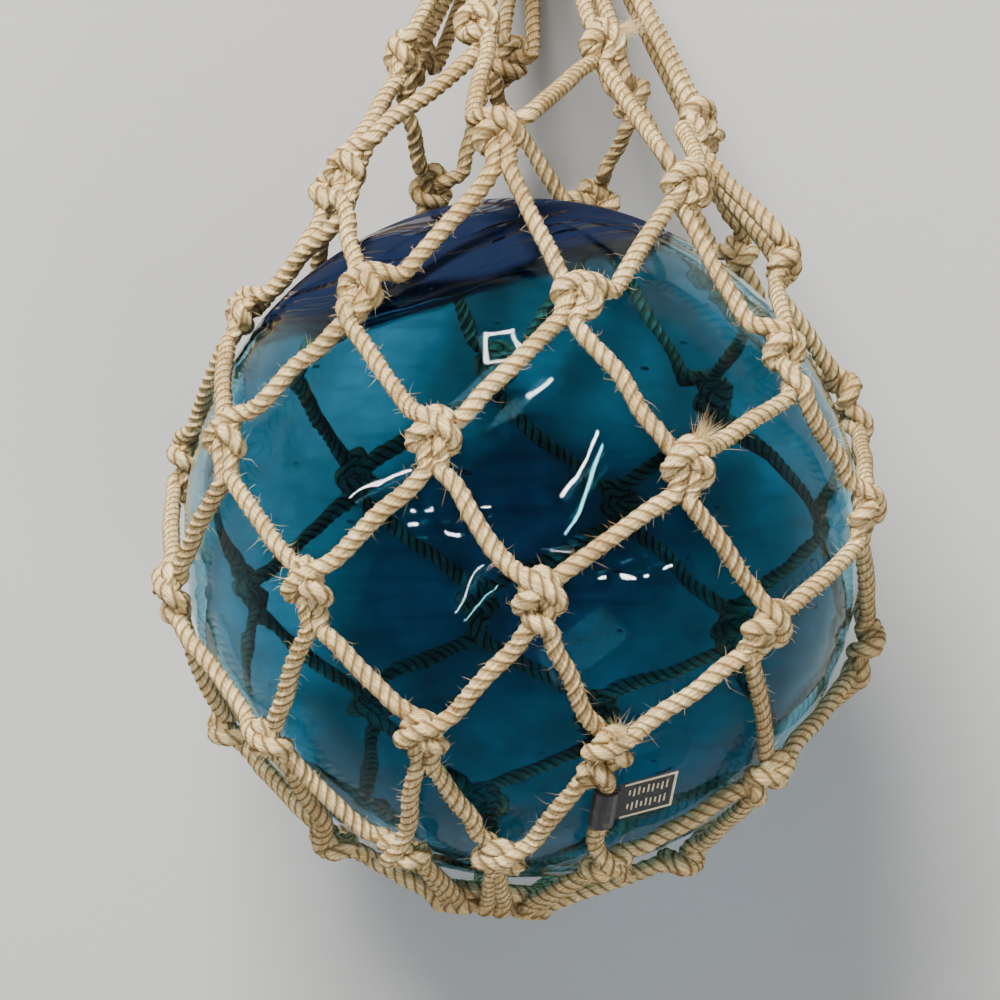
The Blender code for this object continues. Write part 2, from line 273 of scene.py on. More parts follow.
# The rest are cosines between two ways
SAME_WAY = 0.999
OUTWARD = 0.6
FOLDED = 0.5
SQUARE = 0.1


def tag_face():
    """The flat flag of the solid and the way it faces, and the middle line of its fold."""
    mesh = bpy.data.objects["label"].data
    corners = np.array([v.co for v in mesh.vertices])
    faces = list(mesh.polygons)
    ways = np.array([p.normal for p in faces])
    areas = np.array([p.area for p in faces])
    middles = np.array([p.center for p in faces])
    out = unit(corners.mean(0) - ball_centre)
    facing = ways @ out > OUTWARD
    sums = [areas[ways @ way > SAME_WAY].sum() for way in ways[facing]]
    face = unit(ways[facing][int(np.argmax(sums))])
    flat = ways @ face > SAME_WAY
    points = np.array([corners[v] for p, keep in zip(faces, flat) if keep for v in p.vertices])
    folded = [i for i, way in enumerate(ways) if abs(way @ face) < FOLDED]
    steepest = max(folded, key=lambda i: areas[ways @ ways[i] > SAME_WAY].sum())
    along = unit(np.cross(face, ways[steepest]))
    along *= np.sign(along[1])
    right = np.cross(along, face)
    right *= np.sign((points.mean(0) - (middles * areas[:, None]).sum(0) / areas.sum()).dot(right))
    x = points @ right
    ends = []
    for limit in (x.min(), x.max()):
        row = points[np.abs(x - limit) < TAG_EDGE]
        y = row @ along
        ends.append((row[int(np.argmin(y))], row[int(np.argmax(y))]))
    bend = [i for i in folded if abs(ways[i] @ along) < SQUARE and areas[i] > TAG_FACET]
    across = np.column_stack([ways[bend] @ face, -ways[bend] @ right])
    level = (across * np.column_stack([middles[bend] @ right, middles[bend] @ face])).sum(1)
    (u, v), *_ = np.linalg.lstsq(across, level, rcond=None)
    strand = right * u + face * v + along * (corners.mean(0) @ along)
    return ends, face, along, strand


tag_ends, tag_out, tag_along, tag_strand = tag_face()
print("strand through the tag at", tag_strand.round(4))

# %% [markdown]
# From courses to whole twines
#
# Each ring of meshes is one twine: it goes through a knot, up a leg, round the loop of the knot above,
# down the next leg, and so on round the net. The points are joined by a smooth curve and read off again
# at even steps, and points that would sink into the glass are pushed out.

# %% Smooth courses
STEP = 0.00062
SPAN_STEPS = 14
PRESSED = 0.96
LEG_SWAY = 0.00035
TAG_HOLD = 0.009
TAG_GRIP = 1.5 * TWINE
random = np.random.default_rng(7)


def smooth_course(points, closed):
    """A Catmull-Rom curve through the points, read at even steps."""
    points = np.asarray(points, float)
    if closed:
        ring = np.vstack([points[-1:], points, points[:2]])
    else:
        ring = np.vstack([2 * points[0] - points[1], points, 2 * points[-1] - points[-2]])
    share = np.linspace(0, 1, SPAN_STEPS, endpoint=False)[:, None]
    parts = []
    for p0, p1, p2, p3 in zip(ring, ring[1:], ring[2:], ring[3:]):
        parts.append(
            0.5 * (2 * p1 + (p2 - p0) * share + (2 * p0 - 5 * p1 + 4 * p2 - p3) * share**2
                   + (3 * p1 - p0 - 3 * p2 + p3) * share**3)
        )
    fine = np.vstack(parts + [points[:1] if closed else points[-1:]])
    lengths = np.concatenate([[0], np.cumsum(np.linalg.norm(np.diff(fine, axis=0), axis=1))])
    count = max(4, int(round(lengths[-1] / STEP)))
    at = np.linspace(0, lengths[-1], count + 1)
    even = np.column_stack([np.interp(at, lengths, fine[:, i]) for i in range(3)])
    return even[:-1] if closed else even


def off_the_glass(points):
    """Points that would sink the twine into the glass are pushed out."""
    away = np.linalg.norm(points, axis=1, keepdims=True)
    least = ball_radius + NET_CLEARANCE + TWINE / 2 * PRESSED
    return points * np.maximum(1, least / away)


def leg_between(start, end):
    """Points of a leg between two knots, a little off the straight line, its ends left out."""
    return [
        start + (end - start) * share + random.normal(0, LEG_SWAY, 3) for share in (0.2, 0.5, 0.8)
    ]


def through_the_tag(points):
    """Points near the tag are laid on the middle line of its fold."""
    offset = points - (tag_strand - ball_centre)
    along = offset @ tag_along
    beside = offset - np.outer(along, tag_along)
    away = np.linalg.norm(beside, axis=1)
    near = (np.abs(along) < TAG_HOLD) & (away < TAG_GRIP)
    pull = near * (1 - (np.abs(along) / TAG_HOLD) ** 4)
    return points - beside * pull[:, None]


def mesh_rings():
    """One closed course for each ring of meshes between two rounds."""
    courses = []
    for index in range(1, ROUND_COUNT):
        points = []
        for column in columns_of(index):
            wrap = knots[index, column].wrap
            loop = knots[index - 1, (column + 1) % COLUMNS].loop
            after = knots[index, (column + 2) % COLUMNS].wrap
            points += [*wrap, *leg_between(wrap[-1], loop[0]), *loop, *leg_between(loop[-1], after[0])]
        course = smooth_course(off_the_glass(np.array(points)), True)
        courses.append((index, through_the_tag(course)))
    return courses


rings = mesh_rings()
print("rings of meshes:", [(i, len(c)) for i, c in rings])

# %% [markdown]
# The two ends of the net
#
# At the neck each knot of the top round sends two strands to the gather, where sixteen of them lie side
# by side under the binding and end in a short bunch. At the foot each knot's loop hangs on a small ring.

# %% Strands of the neck and the foot
OUTER_SLOTS = 11
INNER_SLOTS = 5
INNER_SLOT_REACH = 0.36
NECK_PAIR = 0.45 * TWINE
BEFORE_BINDING = 0.9 * BUNCH_NOSE
AFTER_BINDING = 0.002
HELD_SPREAD = 0.97
TAIL_SPREAD = 1.22
TAIL_LENGTHS = (0.7, 0.98)
FOOT_PAIR = 0.42 * TWINE
RING_SLANT = vec(0.3, 0.2, 1)
FOOT_HITCH = ((0.75, -0.35), (0.05, -1.0), (-0.80, -0.25), (-0.55, 0.15))


def bunch_slots():
    """Places of the sixteen strands in the section of the bunch, ordered by angle."""
    outer = [(2 * pi * i / OUTER_SLOTS, BUNCH_WAIST - TWINE / 2) for i in range(OUTER_SLOTS)]
    inner = [(2 * pi * (i + 0.5) / INNER_SLOTS, INNER_SLOT_REACH * BUNCH_WAIST) for i in range(INNER_SLOTS)]
    return sorted(outer + inner)


SLOTS = bunch_slots()


def bunch_place(slot, along, spread=1.0):
    angle, reach = SLOTS[slot % COLUMNS]
    return GATHER + vec(sin(angle) * reach * spread, along, cos(angle) * reach * spread)


def neck_strands():
    """Both ends of each top knot, on to the gather and through the bunch."""
    courses = []
    for column in columns_of(0):
        knot = knots[0, column]
        wrap = list(knot.wrap[1:-1])
        turn = (column_angle(column) + radians(NECK_ROUNDS[0].turn)) % (2 * pi)
        slot = int(round(turn / (2 * pi) * COLUMNS))
        ends = []
        for hand, first in ((-1, wrap[0]), (1, wrap[-1])):
            place = slot if hand > 0 else slot - 1
            nose = gather_point(column) + knot.right * (hand * NECK_PAIR)
            steps = [first + (nose - first) * share for share in (0.25, 0.5, 0.75)]
            bound = BUNCH_NOSE + BINDING_LENGTH
            tail = BUNCH_TAIL * random.uniform(*TAIL_LENGTHS)
            far = [
                bunch_place(place, BEFORE_BINDING),
                bunch_place(place, BUNCH_NOSE + BINDING_LENGTH / 2, HELD_SPREAD),
                bunch_place(place, bound + AFTER_BINDING),
                bunch_place(place, bound + tail, TAIL_SPREAD),
            ]
            ends.append(steps + [nose] + far)
        points = ends[0][::-1] + wrap + ends[1]
        courses.append(smooth_course(off_the_glass(np.array(points)), False))
    return courses


def foot_strands():
    """Each end goes round the ring by the places of FOOT_HITCH: out from the ring and up, in twines."""
    courses = []
    for column in columns_of(ROUND_COUNT - 1):
        knot = knots[ROUND_COUNT - 1, column]
        loop = list(knot.loop[1:-1])
        outward = foot_direction(column)
        across = np.cross(CROWN, outward)
        ends = []
        for hand, first in ((-1, loop[0]), (1, loop[-1])):
            beside = across * (-hand * FOOT_PAIR)
            hitch = [FOOT + outward * (FOOT_RING_RADIUS + TWINE * out) + CROWN * TWINE * rise
                     for out, rise in FOOT_HITCH]
            steps = [first + (hitch[0] - first) * share for share in (0.3, 0.6)]
            ends.append([p + beside for p in steps + hitch])
        points = ends[0][::-1] + loop + ends[1]
        courses.append(smooth_course(off_the_glass(np.array(points)), False))
    return courses


def ring_of_the_foot(count=24):
    across = unit(np.cross(CROWN, RING_SLANT))
    upward = np.cross(across, CROWN)
    turns = [2 * pi * i / count for i in range(count)]
    points = [FOOT + FOOT_RING_RADIUS * (across * cos(turn) + upward * sin(turn)) for turn in turns]
    return smooth_course(points, True)


neck = neck_strands()
foot = foot_strands()
foot_ring = ring_of_the_foot()
print("neck strands", len(neck), "foot strands", len(foot))

# %% [markdown]
# Laying the twine
#
# A laid twine has three strands that wind round each other. Its section has three lobes, and sweeping
# that section along the course while it turns gives the real surface, with grooves that catch the light.
# The section travels on axes that don't spin by themselves, so the lay stays even round every bend.
# The UV map runs round and along the twine, so that fibres can follow the strands.

# %% Sweep a three-lobed section
LOBE = ((-60, 0.77), (-38, 0.93), (-13, 1.0), (13, 1.0), (38, 0.93))
SECTION = [(radians(120 * lobe + angle), reach) for lobe in range(3) for angle, reach in LOBE]
# No twine keeps to this way for long, so it can set off the first axis
SLANT = vec(0.31, 0.17, 0.93)
LONG_SWELL = 0.0131
SHORT_SWELL = 0.0049
SWELL = 0.03
UNEVEN = 0.012


def carried_axes(points, closed):
    """Axes carried along the course without spin."""
    if closed:
        ahead = np.roll(points, -1, axis=0) - np.roll(points, 1, axis=0)
    else:
        ahead = np.gradient(points, axis=0)
    ahead /= np.linalg.norm(ahead, axis=1, keepdims=True)
    across = np.empty_like(points)
    across[0] = unit(np.cross(ahead[0], SLANT))
    for i in range(1, len(points)):
        moved = across[i - 1] - ahead[i] * across[i - 1].dot(ahead[i])
        across[i] = moved / np.sqrt(moved.dot(moved))
    return ahead, across, np.cross(ahead, across)


def lay_twine(course, closed, thick=TWINE, lay=LAY, phase=0.0):
    """The points, quads, UV corners and end caps of one laid twine."""
    ahead, across, upward = carried_axes(course, closed)
    count = len(course)
    turns = count * STEP / lay
    if closed:
        drift = np.arctan2(across[0].dot(upward[-1]), across[0].dot(across[-1]))
        turns = round(turns) + drift / (2 * pi)
    steps = np.arange(count)
    twist = phase + 2 * pi * turns * steps / count
    swell = np.sin(steps * STEP / LONG_SWELL + phase * 3) + np.sin(steps * STEP / SHORT_SWELL + phase)
    uneven = 1 + SWELL * swell + UNEVEN * random.standard_normal(count)
    angles = np.array([a for a, _ in SECTION])
    reaches = np.array([r for _, r in SECTION]) * thick / 2
    turn = twist[:, None] + angles[None, :]
    reach = reaches[None, :] * uneven[:, None]
    points = (course[:, None, :] + across[:, None, :] * (np.cos(turn) * reach)[..., None]
              + upward[:, None, :] * (np.sin(turn) * reach)[..., None])
    sides = len(SECTION)
    last = count if closed else count - 1
    i, j = np.meshgrid(np.arange(last), np.arange(sides), indexing="ij")
    i2, j2 = (i + 1) % count, (j + 1) % sides
    quads = np.stack([i * sides + j, i * sides + j2, i2 * sides + j2, i2 * sides + j], -1).reshape(-1, 4)
    u0, u1 = j / sides, (j + 1) / sides
    v0, v1 = i * STEP, (i + 1) * STEP
    uvs = np.stack([np.stack([u0, v0], -1), np.stack([u1, v0], -1),
                    np.stack([u1, v1], -1), np.stack([u0, v1], -1)], -2).reshape(-1, 4, 2)
    ends = [] if closed else [list(range(sides))[::-1], list(range((count - 1) * sides, count * sides))]
    return points.reshape(-1, 3), quads, uvs, ends


def piece_from(name, twines):
    """One object from several laid twines, pressed flat where they meet the surface."""
    points, faces, uvs, base = [], [], [], 0
    for cloud, quads, corners, ends in twines:
        points.append(cloud + ball_centre)
        faces += (quads + base).tolist()
        uvs.append(corners.reshape(-1, 2))
        for end in ends:
            faces.append([base + k for k in end])
            uvs.append(np.zeros((len(end), 2)))
        base += len(cloud)
    cloud = np.vstack(points)
    cloud[:, 2] = np.maximum(cloud[:, 2], 0.0)
    mesh = bpy.data.meshes.new(name)
    mesh.from_pydata(cloud.tolist(), [], faces)
    layer = mesh.uv_layers.new(name="lay")
    # The corners come in the order of the faces, with the end caps after each twine's quads
    layer.data.foreach_set("uv", np.vstack(uvs).ravel())
    mesh.shade_smooth()
    print(name, "triangles", sum(len(f) - 2 for f in faces))
    return placed(name, mesh)


laid = {index: lay_twine(course, True, phase=index * 1.7) for index, course in rings}
net_lower = piece_from("net_lower", [laid[i] for i in (5, 6)])
net_middle = piece_from("net_middle", [laid[i] for i in (3, 4)])
net_upper = piece_from("net_upper", [laid[i] for i in (1, 2)])
net_neck = piece_from("net_neck", [lay_twine(c, False, phase=i) for i, c in enumerate(neck)])
net_foot = piece_from(
    "net_foot",
    [lay_twine(c, False, phase=i) for i, c in enumerate(foot)] + [lay_twine(foot_ring, True)],
)
net_pieces = [net_lower, net_middle, net_upper, net_neck, net_foot]

# %% [markdown]
# The binding
#
# The neck is held by a whipping: a thinner twine wound side by side round the bunch.

# %% Wind the binding
BINDING_TURNS = 3
BINDING_LAY = 0.0058
BINDING_GAP = 0.0003
BINDING_STEPS = 20
BINDING_START = -0.6


def winding():
    pitch = (BINDING_LENGTH - 2 * BINDING_GAP) / BINDING_TURNS
    reach = BUNCH_WAIST + BINDING_GAP + BINDING_TWINE / 2
    points = []
    steps = BINDING_STEPS * (BINDING_TURNS - 1) + 1
    for i in range(steps + 1):
        angle = 2 * pi * i / BINDING_STEPS + BINDING_START
        along = BUNCH_NOSE + BINDING_GAP + pitch * (0.5 + i / BINDING_STEPS)
        points.append(GATHER + vec(reach * sin(angle), along, reach * cos(angle)))
    return smooth_course(points, False)


wound = lay_twine(winding(), False, thick=BINDING_TWINE, lay=BINDING_LAY)
binding = piece_from("binding_twine", [wound])

# %% [markdown]
# Loose fibres
#
# Jute is hairy. Short fibres stand off every twine, at three knots a tuft of cut ends sticks out, and the
# ends of the bunch are frayed. Each fibre is a thin three-sided spike with one bend, so it still shows
# against the light and costs little.

# %% Grow the fibres
FIBRES = 16000
FIBRE_WIDTH = 0.00008
FIBRE_WAIST = 0.36
FIBRE_ROOT = 0.42 * TWINE
FIBRE_LEAST = 0.0008
FIBRE_GROWTH = 0.00055
FIBRE_LEAN = 1.1
FIBRE_STRAY = 0.35
FIBRE_BEND = 0.5
FIBRE_SLANT = vec(0.21, 0.43, 0.88)
FIBRE_LIFT = 0.0001
TUFTS = (
    ((5, 2), (-0.2, 1.0, 0.5), 0.0065),
    ((0, 1), (0.9, 0.7, 0.5), 0.0075),
    ((3, 2), (0.2, 1.0, 0.6), 0.0060),
)
TUFT_FIBRES = 110
TUFT_OUT = 1.1 * TWINE
TUFT_SPREAD = 0.0007
TUFT_STRAY = 0.38
TUFT_LENGTHS = (0.4, 1.0)
FRAYED = 70
FRAYED_SPREAD = 0.22 * TWINE
FRAYED_STRAY = 0.28
FRAYED_LENGTHS = (0.0010, 0.0034)


def spikes(roots, ways, bends, lengths, width):
    """Triangles of many bent spikes: seven points each."""
    count = len(roots)
    ways = ways / np.linalg.norm(ways, axis=1, keepdims=True)
    side = np.cross(ways, FIBRE_SLANT)
    side /= np.linalg.norm(side, axis=1, keepdims=True)
    other = np.cross(ways, side)
    middle = roots + ways * lengths[:, None] * 0.5
    tip = middle + (ways + bends) * lengths[:, None] * 0.5
    points = np.empty((count, 7, 3))
    for i in range(3):
        out = side * cos(2 * pi * i / 3) + other * sin(2 * pi * i / 3)
        points[:, i] = roots + out * width / 2
        points[:, 3 + i] = middle + out * width * FIBRE_WAIST
    points[:, 6] = tip
    pattern = []
    for i in range(3):
        j = (i + 1) % 3
        pattern += [(i, j, 3 + j), (i, 3 + j, 3 + i), (3 + i, 3 + j, 6)]
    faces = np.array(pattern)[None] + 7 * np.arange(count)[:, None, None]
    return points.reshape(-1, 3), faces.reshape(-1, 3)


def fibre_piece():
    """All loose fibres as one object: along the twines, in the tufts and at the frayed ends."""
    courses = [c for _, c in rings] + neck + foot
    lengths = np.array([len(c) for c in courses])
    roots, ways = [], []
    for course, share in zip(courses, lengths / lengths.sum()):
        closed = np.linalg.norm(course[0] - course[-1]) < TWINE
        ahead, across, upward = carried_axes(course, closed)
        pick = random.integers(0, len(course), int(FIBRES * share))
        angle = random.uniform(0, 2 * pi, len(pick))[:, None]
        out = across[pick] * np.cos(angle) + upward[pick] * np.sin(angle)
        roots.append(course[pick] + out * FIBRE_ROOT)
        lean = random.normal(0, FIBRE_LEAN, (len(pick), 1))
        ways.append(out + ahead[pick] * lean + random.normal(0, FIBRE_STRAY, (len(pick), 3)))
    roots, ways = np.vstack(roots), np.vstack(ways)
    reach = FIBRE_LEAST + random.gamma(2.0, FIBRE_GROWTH, len(roots))
    for key, (x, y, z), length in TUFTS:
        knot = knots[key]
        way = knot.right * x + knot.up * y + knot.normal * z
        start = knot.centre + (knot.right * x + knot.up * y) * TUFT_OUT + knot.normal * TWINE
        roots = np.vstack([roots, start + random.normal(0, TUFT_SPREAD, (TUFT_FIBRES, 3))])
        ways = np.vstack([ways, unit(way) + random.normal(0, TUFT_STRAY, (TUFT_FIBRES, 3))])
        reach = np.append(reach, length * random.uniform(*TUFT_LENGTHS, TUFT_FIBRES))
    for course in neck:
        for end, before in ((course[0], course[4]), (course[-1], course[-5])):
            scatter = random.normal(0, FRAYED_SPREAD, (FRAYED, 3))
            roots = np.vstack([roots, end + scatter])
            ways = np.vstack([ways, unit(end - before) + random.normal(0, FRAYED_STRAY, (FRAYED, 3))])
            reach = np.append(reach, random.uniform(*FRAYED_LENGTHS, FRAYED))
    bends = random.normal(0, FIBRE_BEND, (len(roots), 3))
    points, faces = spikes(roots, ways, bends, reach, FIBRE_WIDTH)
    away = np.linalg.norm(points, axis=1, keepdims=True)
    points = points * np.maximum(1, (ball_radius + FIBRE_WIDTH) / away) + ball_centre
    points[:, 2] = np.maximum(points[:, 2], FIBRE_LIFT)
    mesh = bpy.data.meshes.new("net_fibres")
    mesh.from_pydata(points.tolist(), [], faces.tolist())
    print("fibres", len(roots), "triangles", len(faces))
    return placed("net_fibres", mesh)


fibres = fibre_piece()

# %% [markdown]
# Shader maths
#
# A material is written as a sum of expressions. This small class wraps a socket, so that a plus sign adds
# a Math node. Any other node comes from one method, which sets the settings first and then the inputs.

# %% Write materials as expressions
class Term:
    """A socket that can be used in arithmetic."""

    def __init__(self, tree, socket):
        self.tree = tree
        self.socket = socket

    def math(self, operation, *others):
        return self.tree.node("ShaderNodeMath", {"operation": operation}, dict(enumerate((self, *others))))

    def __add__(self, other):
        return self.math("ADD", other)

    def __sub__(self, other):
        return self.math("SUBTRACT", other)

    def __mul__(self, other):
        return self.math("MULTIPLY", other)

    def __rsub__(self, other):
        return self.tree.node("ShaderNodeMath", {"operation": "SUBTRACT"}, {0: other, 1: self})

    __radd__ = __add__
    __rmul__ = __mul__

    def plus(self, other):
        """The sum of two vectors."""
        return self.tree.node("ShaderNodeVectorMath", {"operation": "ADD"}, {0: self, 1: other})

    def over(self, low, high):
        """0 below low, 1 above high, smooth between."""
        values = {"Value": self, "From Min": low, "From Max": high}
        return self.tree.node("ShaderNodeMapRange", {"interpolation_type": "SMOOTHSTEP"}, values)


class Finish:
    """A material under construction."""

    def __init__(self, name, **constants):
        self.material = bpy.data.materials.new(name)
        self.material.use_nodes = True
        self.nodes = self.material.node_tree.nodes
        self.links = self.material.node_tree.links
        self.shader = self.nodes["Principled BSDF"]
        self.set_plain(self.shader, constants)

    @staticmethod
    def set_plain(shader, constants):
        """Values that are the same all over the surface go on the shader's own sockets."""
        for socket, value in constants.items():
            shader.inputs[socket.replace("_", " ")].default_value = value

    def node(self, kind, settings=None, values=None, out=0):
        made = self.nodes.new(kind)
        for key, value in (settings or {}).items():
            setattr(made, key, value)
        for key, value in (values or {}).items():
            if isinstance(value, Term):
                self.links.new(value.socket, made.inputs[key])
            else:
                made.inputs[key].default_value = value
        return Term(self, made.outputs[out])

    def place(self):
        return self.node("ShaderNodeTexCoord", out="Object")

    def uv(self, name):
        return self.node("ShaderNodeUVMap", {"uv_map": name})

    def noise(self, vector, scale, detail, rough):
        values = {"Vector": vector, "Scale": scale, "Detail": detail, "Roughness": rough}
        return self.node("ShaderNodeTexNoise", {}, values)

    def split(self, vector):
        """The three parts of a vector."""
        made = self.nodes.new("ShaderNodeSeparateXYZ")
        self.links.new(vector.socket, made.inputs[0])
        return [Term(self, out) for out in made.outputs]

    def toward(self, vector, way):
        """How far the vector points a given way: 1 when it does so fully."""
        values = {0: vector, 1: tuple(unit(vec(*way)))}
        return self.node("ShaderNodeVectorMath", {"operation": "DOT_PRODUCT"}, values, out="Value")

    def vector(self, x=0.0, y=0.0, z=0.0):
        return self.node("ShaderNodeCombineXYZ", {}, {"X": x, "Y": y, "Z": z})

    def stretch(self, vector, scale):
        return self.node("ShaderNodeVectorMath", {"operation": "MULTIPLY"}, {0: vector, 1: scale})

    def mix(self, share, first, second):
        values = {0: share, 6: self.colour(first), 7: self.colour(second)}
        return self.node("ShaderNodeMix", {"data_type": "RGBA"}, values, out=2)

    @staticmethod
    def colour(value):
        return value if isinstance(value, Term) else (*value, 1.0)

    def over_it(self, share, **constants):
        """Lay a second plain shader over the first by a share."""
        over = self.nodes.new("ShaderNodeBsdfPrincipled")
        self.set_plain(over, constants)
        mixed = self.nodes.new("ShaderNodeMixShader")
        for place, socket in enumerate((share.socket, self.shader.outputs[0], over.outputs[0])):
            self.links.new(socket, mixed.inputs[place])
        self.links.new(mixed.outputs[0], self.nodes["Material Output"].inputs["Surface"])

    def feed(self, socket, term):
        self.links.new(term.socket, self.shader.inputs[socket])

    def bump(self, height, distance, strength=1.0):
        values = {"Height": height, "Distance": distance, "Strength": strength}
        self.feed("Normal", self.node("ShaderNodeBump", {}, values))


print("shader helpers ready")

# %% [markdown]
# Jute
#
# Jute is dull and straw coloured. Its fibres run nearly straight along the twine while the strands wind
# round it, so the shader unwinds the lay first: it turns the way round the twine back by the lay, and
# wraps it on a circle so that no seam shows. Fibres are pale where they catch the light, the grooves
# between the strands get painted shade in a darker brown, and the colour drifts slowly along the twine.

# %% Twine finish
PALE = (0.98, 0.80, 0.46)
STRAW = (0.66, 0.45, 0.19)
BROWN = (0.24, 0.13, 0.045)
WHIPPING_SHADE = 0.84
SPECK_SHADE = 0.5
# Painted shade: how dark the brown is that is painted into the grooves between the strands
GROOVE_PAINTED_SHADE = 0.6
FINE_FIBRES = (13, 420)
COARSE_FIBRES = (5, 230)
FIBRE_RELIEF = 0.00035


def shaded(colour, share):
    return tuple(share * part for part in colour)


def twine_finish(name, pale, straw, brown, lay):
    finish = Finish(name, Specular_IOR_Level=0.0)
    around, along, _ = finish.split(finish.uv("lay"))
    place = finish.place()
    turn = (around + along * (1 / lay)) * (2 * pi)
    east, north = turn.math("COSINE"), turn.math("SINE")

    def fibre_noise(round_pace, long_pace, rough):
        wound = finish.vector(east * round_pace, north * round_pace, along * long_pace)
        return finish.noise(wound, 1.0, 2.0, rough)

    fine = fibre_noise(*FINE_FIBRES, 0.62)
    coarse = fibre_noise(*COARSE_FIBRES, 0.6)
    drift = finish.noise(place, 45.0, 1.0, 0.6)
    speck = finish.noise(place, 900.0, 1.0, 0.6)
    lobe = (around * 3 + 0.5).math("FRACT").math("PINGPONG", 0.5)
    # Painted shade: this mask is 1 in the grooves between the strands
    groove_painted_shade = 1 - lobe.over(0.03, 0.26)
    colour = finish.mix(coarse.over(0.40, 0.60), straw, pale)
    colour = finish.mix(fine.over(0.50, 0.66) * 0.65, colour, brown)
    colour = finish.mix(drift.over(0.44, 0.70) * 0.35, colour, brown)
    colour = finish.mix(speck.over(0.62, 0.74) * 0.35, colour, shaded(brown, SPECK_SHADE))
    # Painted shade: the grooves between the strands are darkened towards a deeper brown
    colour = finish.mix(groove_painted_shade * 0.85, colour, shaded(brown, GROOVE_PAINTED_SHADE))
    finish.feed("Base Color", colour)
    finish.bump(fine * 0.7 + coarse, FIBRE_RELIEF)
    return finish.material


jute = twine_finish("jute twine", PALE, STRAW, BROWN, LAY)
darker = [shaded(colour, WHIPPING_SHADE) for colour in (PALE, STRAW, BROWN)]
whipping = twine_finish("whipping twine", *darker, BINDING_LAY)
for piece in [*net_pieces, fibres]:
    piece.data.materials.append(jute)
binding.data.materials.append(whipping)
print("twine finishes:", jute.name, whipping.name)

# %% [markdown]
# The glass
#
# The ball is a shell about three millimetres thick, blown by hand, so its inner wall is not quite true.
# Two closed surfaces, one facing out and one facing in, let light bend as it does in the real wall. Small
# drawn-out bubbles are caught between them, and a round seal closes the hole of the blowpipe. The seal is
# low, so the outer surface has smaller triangles there.

# %% Blow the ball
GLASS_WALL = 0.003
OUTER_STEPS = 7
INNER_STEPS = 6
SEAL_WAY = (0.37, -0.57, 0.73)
SEAL_REACH = 0.082
SEAL_RIM = 0.012
SEAL_RIM_HEIGHT = 0.00022
SEAL_BUTTON = 0.4 * SEAL_REACH
SEAL_BUTTON_HEIGHT = 0.00012
SEAL_PATCH = 0.16
SEAL_CUTS = 2
WALL_SUNK = 0.0001
Swell = namedtuple("Swell", "seed pace reach")
OUTER_SWELLS = (Swell(3, 3.0, 0.00012), Swell(4, 8.0, 0.00007), Swell(8, 24.0, 0.00003),
                Swell(9, 55.0, 0.000006))
INNER_SWELLS = (Swell(5, 3.0, 0.0003), Swell(6, 8.0, 0.00014))
SWELL_WAVES = 9
BUBBLES = 90
BUBBLE_LEAST = 0.00018
BUBBLE_GROWTH = 0.00010
BUBBLE_DRAWN = (0.2, 2.2)
BUBBLE_DEPTH = 0.45 * GLASS_WALL


def swells(directions, layers):
    """Slow waves over the sphere: each layer is the sum of a few waves of one pace."""
    height = np.zeros(len(directions))
    for layer in layers:
        waves = np.random.default_rng(layer.seed)
        for _ in range(SWELL_WAVES):
            way = waves.standard_normal(3) * layer.pace
            wave = np.sin(directions @ way + waves.uniform(0, 2 * pi))
            height += wave * layer.reach / sqrt(SWELL_WAVES)
    return height


def seal(directions):
    """The round scar where the ball was closed: a low rim and a button."""
    reach = np.linalg.norm(directions - unit(vec(*SEAL_WAY)), axis=1)
    rim = np.exp(-((reach - SEAL_REACH) / SEAL_RIM) ** 2)
    button = np.exp(-(reach / SEAL_BUTTON) ** 2)
    return rim * SEAL_RIM_HEIGHT + button * SEAL_BUTTON_HEIGHT


def sphere(steps, finer=None):
    """Points and triangles of a ball, with a patch of smaller triangles where it is asked for."""
    bm = bmesh.new()
    bmesh.ops.create_icosphere(bm, subdivisions=steps, radius=1.0)
    if finer is not None:
        patch = [e for e in bm.edges if all((v.co - finer).length < SEAL_PATCH for v in e.verts)]
        bmesh.ops.subdivide_edges(bm, edges=patch, cuts=SEAL_CUTS, use_grid_fill=True)
        bmesh.ops.triangulate(bm, faces=bm.faces)
    directions = np.array([v.co for v in bm.verts])
    directions /= np.linalg.norm(directions, axis=1, keepdims=True)
    faces = np.array([[v.index for v in f.verts] for f in bm.faces])
    bm.free()
    return directions, faces


def blow():
    """The outer wall, the inner wall facing inwards, and the bubbles between them."""
    directions, faces = sphere(OUTER_STEPS, Vector(unit(vec(*SEAL_WAY))))
    outer = ball_radius - WALL_SUNK + swells(directions, OUTER_SWELLS) + seal(directions)
    clouds, parts = [directions * outer[:, None]], [faces]
    directions, faces = sphere(INNER_STEPS)
    inner = ball_radius - GLASS_WALL - swells(directions, INNER_SWELLS)
    parts.append(faces[:, ::-1] + len(clouds[0]))
    clouds.append(directions * inner[:, None])
    base = len(clouds[0]) + len(clouds[1])
    ball, ball_faces = sphere(2)
    for _ in range(BUBBLES):
        way = unit(random.standard_normal(3))
        size = BUBBLE_LEAST + random.gamma(1.5, BUBBLE_GROWTH)
        across = unit(np.cross(way, CROWN))
        shape = ball * size
        shape = shape + np.outer(shape @ across, across) * random.uniform(*BUBBLE_DRAWN)
        clouds.append(shape + way * (ball_radius - BUBBLE_DEPTH))
        parts.append(ball_faces[:, ::-1] + base)
        base += len(ball)
    mesh = bpy.data.meshes.new("float_glass")
    mesh.from_pydata((np.vstack(clouds) + ball_centre).tolist(), [], np.vstack(parts).tolist())
    mesh.shade_smooth()
    print("glass triangles", len(mesh.polygons))
    return placed("float_glass", mesh)


glass = blow()

# %% [markdown]
# Blue glass
#
# The glass is clear through and through, so its shader is plain transmission with the colour that one
# wall gives to the light. At the shoulder the hot glass was twisted as the ball was closed, and navy
# streaks of nearly black glass curl round that place, so a second shader lies over the first there. Thin
# darker cords run through the rest.

